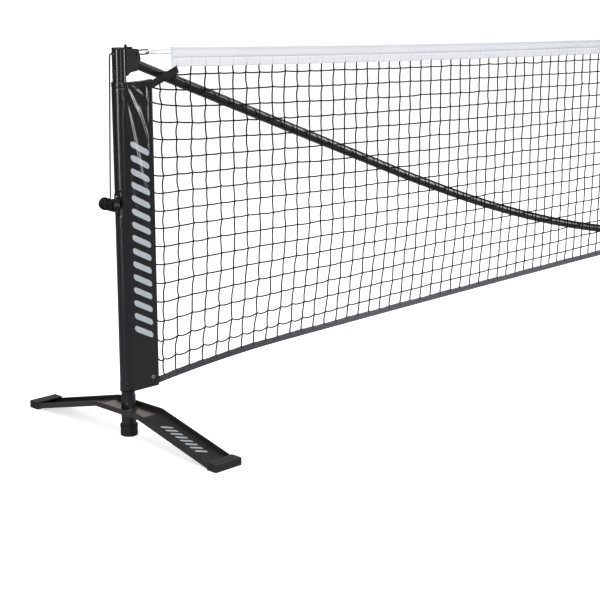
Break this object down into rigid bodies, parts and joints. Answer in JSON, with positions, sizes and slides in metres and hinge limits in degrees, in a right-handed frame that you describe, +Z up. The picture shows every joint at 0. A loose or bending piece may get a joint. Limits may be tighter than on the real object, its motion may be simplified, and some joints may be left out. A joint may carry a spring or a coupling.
{
  "type": "portable court net",
  "caption": "Free-standing portable court net: white-taped knotted mesh held between two posts by a springy plug-together bow, on cross feet with a centre foot.",
  "frame": {"origin": "on the floor, under the middle of the net, in the plane of the posts", "axes": "+X along the net, +Z up, -Y the front face where the sleeves' print shows"},
  "size_m": [6.8118, 0.704, 0.921],
  "materials": {
    "black_powder_coat": "semi-gloss black powder coat",
    "black_moulding": "fine-grained black plastic",
    "black_rubber": "matte black rubber",
    "black_vinyl": "glossy black coated vinyl",
    "white_vinyl": "white coated vinyl tape",
    "black_netting": "black knotted twine",
    "black_webbing": "black woven webbing",
    "black_cord": "black braided cord",
    "white_cord": "white braided cord",
    "bright_metal": "zinc-plated steel",
    "grey_powder_coat": "satin grey powder coat"
  },
  "bodies": {
    "net_and_middle": {"tape": "white_vinyl", "mesh": "black_netting", "bottom_band": "black_webbing", "centre_hub": "black_powder_coat", "centre_foot": "grey_powder_coat", "foot_pads": "black_rubber", "centre_loop": "black_webbing", "side_strap_left": "black_webbing", "side_strap_right": "black_webbing", "cord_loop_left": "black_cord", "cord_loop_right": "black_cord", "headline_end_left": "white_cord", "headline_end_right": "white_cord"},
    "middle_rod": {"centre_rod": "black_powder_coat", "rod_cap": "black_moulding"},
    "bow_lower_left": {"bow_lower_left": "black_powder_coat"},
    "bow_middle_left": {"bow_middle_left": "black_powder_coat"},
    "bow_upper_left": {"bow_upper_left": "black_powder_coat"},
    "end_left": {"post_left": "black_powder_coat", "post_cap_left": "black_moulding", "bow_bracket_left": "black_powder_coat", "bracket_rivets_left": "bright_metal", "cleat_left": "black_moulding", "cleat_screws_left": "bright_metal", "cleat_wrap_left": "black_cord", "tension_cord_left": "black_cord", "sleeve_left": "black_vinyl", "sleeve_grommet_left": "bright_metal", "base_channel_left": "black_powder_coat", "base_cap_front_left": "black_moulding", "base_cap_back_left": "black_moulding", "base_stub_left": "black_powder_coat", "base_foot_left": "black_rubber"},
    "button_left": {"base_button_left": "bright_metal"},
    "bow_lower_right": {"bow_lower_right": "black_powder_coat"},
    "bow_middle_right": {"bow_middle_right": "black_powder_coat"},
    "bow_upper_right": {"bow_upper_right": "black_powder_coat"},
    "end_right": {"post_right": "black_powder_coat", "post_cap_right": "black_moulding", "bow_bracket_right": "black_powder_coat", "bracket_rivets_right": "bright_metal", "cleat_right": "black_moulding", "cleat_screws_right": "bright_metal", "cleat_wrap_right": "black_cord", "tension_cord_right": "black_cord", "sleeve_right": "black_vinyl", "sleeve_grommet_right": "bright_metal", "base_channel_right": "black_powder_coat", "base_cap_front_right": "black_moulding", "base_cap_back_right": "black_moulding", "base_stub_right": "black_powder_coat", "base_foot_right": "black_rubber"},
    "button_right": {"base_button_right": "bright_metal"}
  },
  "joints": [
    {"name": "lower_tube_pull_left", "type": "slide", "parent": "net_and_middle", "child": "bow_lower_left", "axis": [-1, 0, 0], "range_m": [0, 0.058]},
    {"name": "middle_tube_pull_left", "type": "slide", "parent": "bow_lower_left", "child": "bow_middle_left", "axis": [-0.9866, 0, 0.1633], "range_m": [0, 0.06]},
    {"name": "upper_tube_pull_left", "type": "slide", "parent": "bow_middle_left", "child": "bow_upper_left", "axis": [-0.9466, 0, 0.3223], "range_m": [0, 0.06]},
    {"name": "post_pull_left", "type": "slide", "parent": "bow_upper_left", "child": "end_left", "axis": [-0.9397, 0, 0.342], "range_m": [0, 0.034]},
    {"name": "base_button_press_left", "type": "slide", "parent": "end_left", "child": "button_left", "axis": [0.766, 0.6428, 0], "range_m": [0, 0.0036], "stiffness_N_per_m": 900, "springref_m": -0.004},
    {"name": "lower_tube_pull_right", "type": "slide", "parent": "net_and_middle", "child": "bow_lower_right", "axis": [1, 0, 0], "range_m": [0, 0.058]},
    {"name": "middle_tube_pull_right", "type": "slide", "parent": "bow_lower_right", "child": "bow_middle_right", "axis": [0.9866, 0, 0.1633], "range_m": [0, 0.06]},
    {"name": "upper_tube_pull_right", "type": "slide", "parent": "bow_middle_right", "child": "bow_upper_right", "axis": [0.9466, 0, 0.3223], "range_m": [0, 0.06]},
    {"name": "post_pull_right", "type": "slide", "parent": "bow_upper_right", "child": "end_right", "axis": [0.9397, 0, 0.342], "range_m": [0, 0.034]},
    {"name": "base_button_press_right", "type": "slide", "parent": "end_right", "child": "button_right", "axis": [-0.766, 0.6428, 0], "range_m": [0, 0.0036], "stiffness_N_per_m": 900, "springref_m": -0.004},
    {"name": "middle_rod_lift", "type": "slide", "parent": "net_and_middle", "child": "middle_rod", "axis": [0, 0, 1], "range_m": [0, 0.042]}
  ]
}
